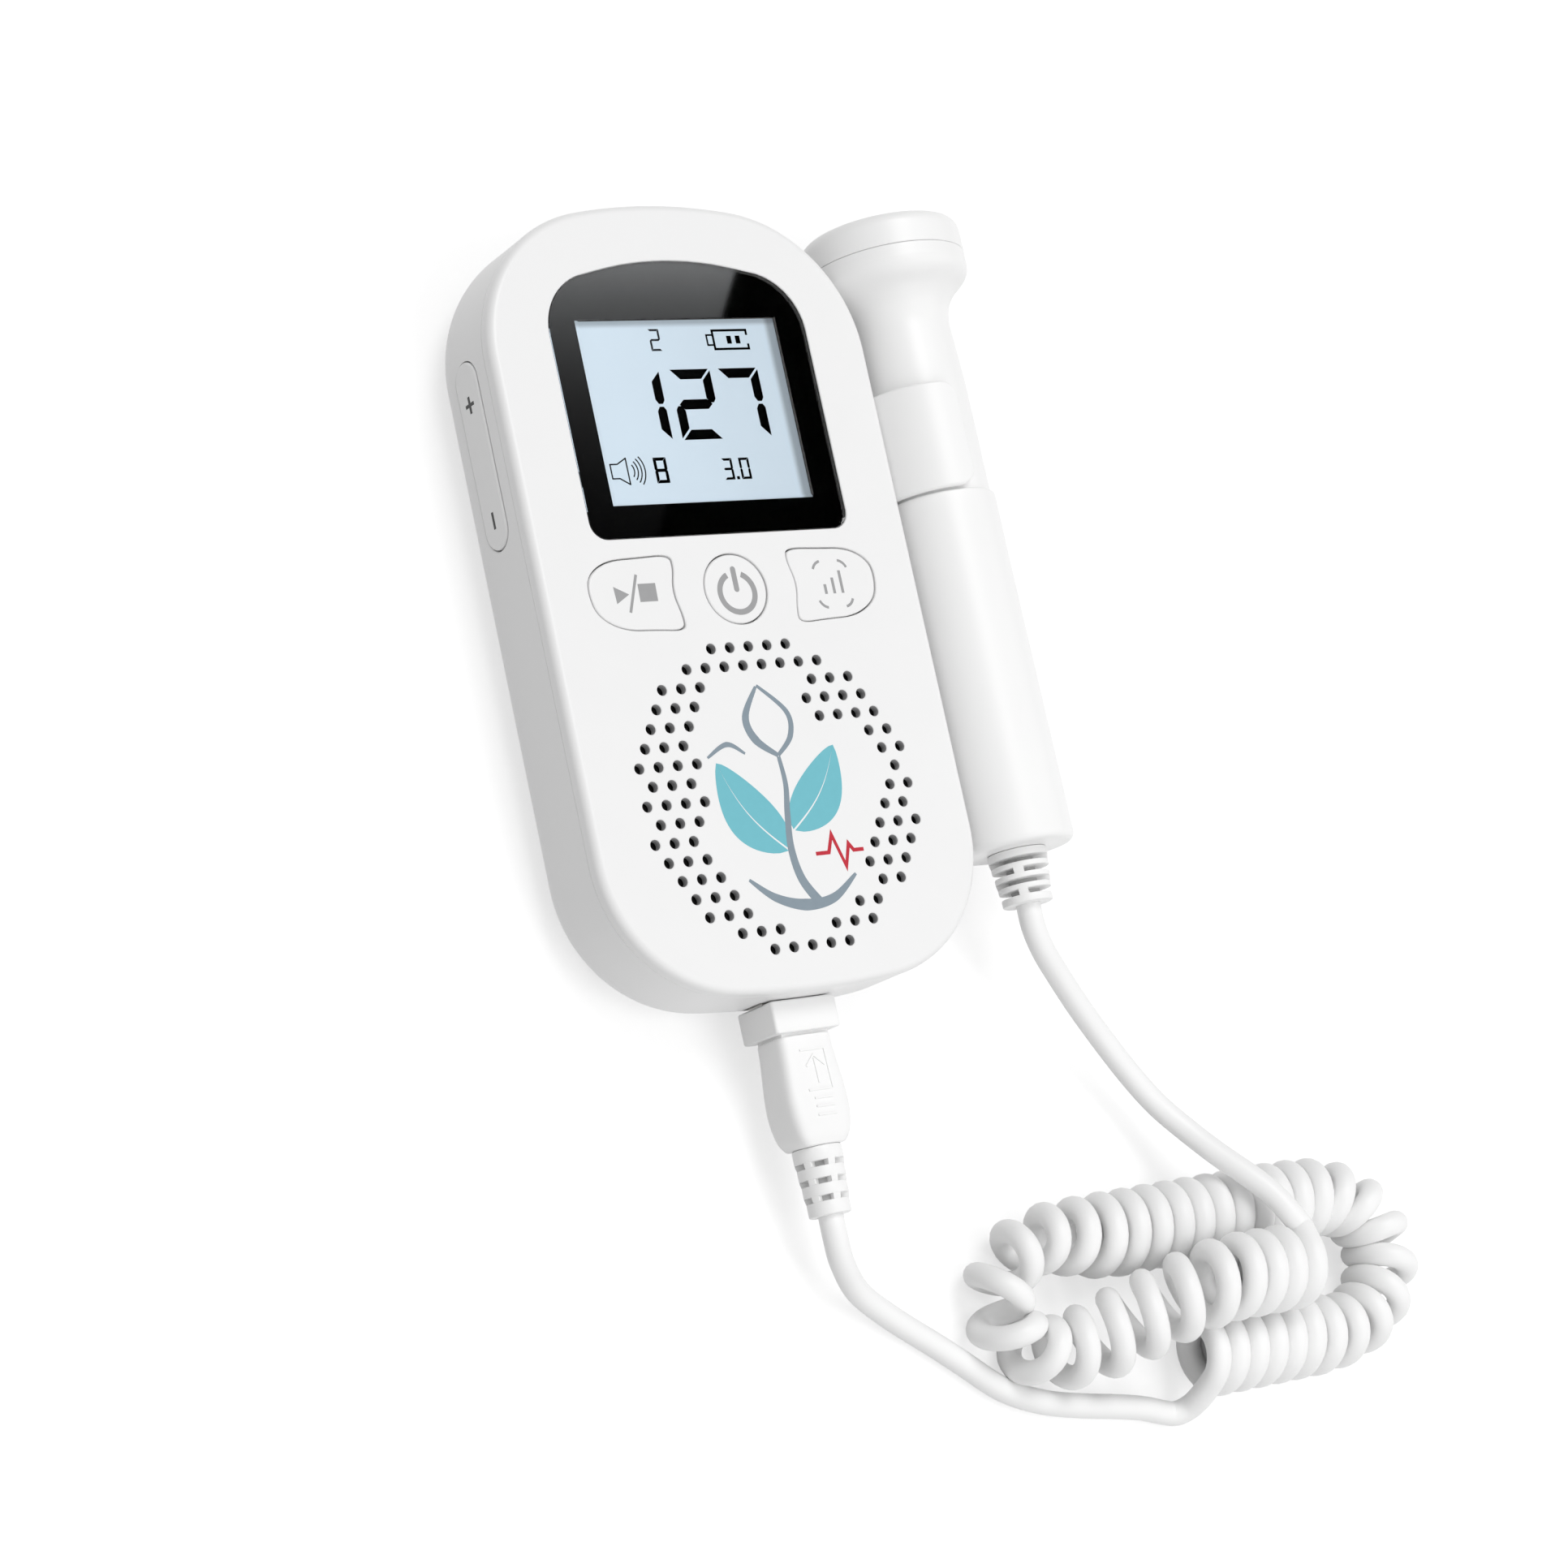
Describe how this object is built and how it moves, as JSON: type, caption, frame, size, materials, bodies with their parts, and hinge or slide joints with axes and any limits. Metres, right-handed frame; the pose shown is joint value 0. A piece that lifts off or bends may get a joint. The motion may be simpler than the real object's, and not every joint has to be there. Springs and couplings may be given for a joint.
{
  "type": "fetal doppler monitor",
  "caption": "Pocket fetal heart monitor: rounded white unit with display, keys, rocker and speaker grille, a probe clipped to its side and a curly cord from the probe to a plug.",
  "frame": {"origin": "on the main unit's flat back, under the middle of the speaker grille; the unit lies on its back on the table plane z = 0", "axes": "+X towards the probe, +Y from the plug end towards the display end, +Z out of the front"},
  "size_m": [0.1572, 0.2181, 0.0324],
  "materials": {
    "white_gloss": "glossy white ABS",
    "white_flex": "satin white flexible PVC",
    "black_gloss": "glossy black print",
    "clear_window": "clear polished",
    "lcd_panel": "pale blue backlit",
    "diffuser": "frosted white",
    "bright_metal": "nickel plated",
    "board_green": "solder mask",
    "black_parts": "moulded black",
    "grille_black": "woven cloth",
    "foam_black": "foam",
    "frame_grey": "moulded grey",
    "cone_black": "satin",
    "magnet_metal": "plated",
    "cell_jacket": "printed jacket",
    "probe_face_grey": "satin grey",
    "ceramic": "silvered ceramic"
  },
  "bodies": {
    "unit": {"back_cover": "white_gloss", "front_cover": "white_gloss", "grille_cloth": "grille_black", "lens_mask": "black_gloss", "display_lens": "clear_window", "lcd_glass": "lcd_panel", "lcd_backlight": "diffuser", "lcd_pins": "bright_metal", "main_board": "board_green", "button_switches": "black_parts", "board_parts": "black_parts", "rocker_pin": "bright_metal", "volume_switches": "black_parts", "side_board": "board_green", "speaker_gasket": "foam_black", "speaker_frame": "frame_grey", "speaker_cone": "cone_black", "speaker_magnet": "magnet_metal", "battery_cells": "cell_jacket", "battery_contacts": "bright_metal", "case_screws": "bright_metal", "board_screws": "bright_metal", "socket_board": "board_green", "plug_socket": "bright_metal", "probe_clip": "white_gloss", "probe_cord": "white_flex", "curly_cord": "white_flex", "plug_cord": "white_flex"},
    "play_stop_key": {"play_stop_button": "white_gloss"},
    "power_key": {"power_button": "white_gloss"},
    "mode_key": {"mode_button": "white_gloss"},
    "volume_key": {"volume_rocker": "white_gloss"},
    "door": {"battery_door": "white_gloss"},
    "probe": {"probe_shell_front": "white_gloss", "probe_shell_back": "white_gloss", "probe_cap": "white_gloss", "probe_face": "probe_face_grey", "crystal_holder": "frame_grey", "crystals": "ceramic", "probe_board": "board_green", "probe_relief": "white_flex"},
    "plug": {"plug_shell": "bright_metal", "plug_insert": "black_parts", "plug_collar": "white_flex", "plug_grip": "white_flex", "plug_relief": "white_flex"}
  },
  "joints": [
    {"name": "play_stop_press", "type": "slide", "parent": "unit", "child": "play_stop_key", "axis": [0, 0, -1], "range_m": [0, 0.0005], "stiffness_N_per_m": 800},
    {"name": "power_press", "type": "slide", "parent": "unit", "child": "power_key", "axis": [0, 0, -1], "range_m": [0, 0.0005], "stiffness_N_per_m": 800},
    {"name": "mode_press", "type": "slide", "parent": "unit", "child": "mode_key", "axis": [0, 0, -1], "range_m": [0, 0.0005], "stiffness_N_per_m": 800},
    {"name": "volume_rock", "type": "hinge", "parent": "unit", "child": "volume_key", "pos_m": [-0.0332, 0.0637, 0.0132], "axis": [0, 0, 1], "range_deg": [-1.8, 1.8], "stiffness_Nm_per_rad": 0.4},
    {"name": "door_slide", "type": "slide", "parent": "unit", "child": "door", "axis": [0, -1, 0], "range_m": [0, 0.009]},
    {"name": "probe_unclip", "type": "slide", "parent": "unit", "child": "probe", "axis": [1, 0, 0], "range_m": [0, 0.03], "deforming": ["probe_cord"]},
    {"name": "plug_pull", "type": "slide", "parent": "unit", "child": "plug", "axis": [0, -1, 0], "range_m": [0, 0.0125], "deforming": ["plug_cord"]}
  ]
}
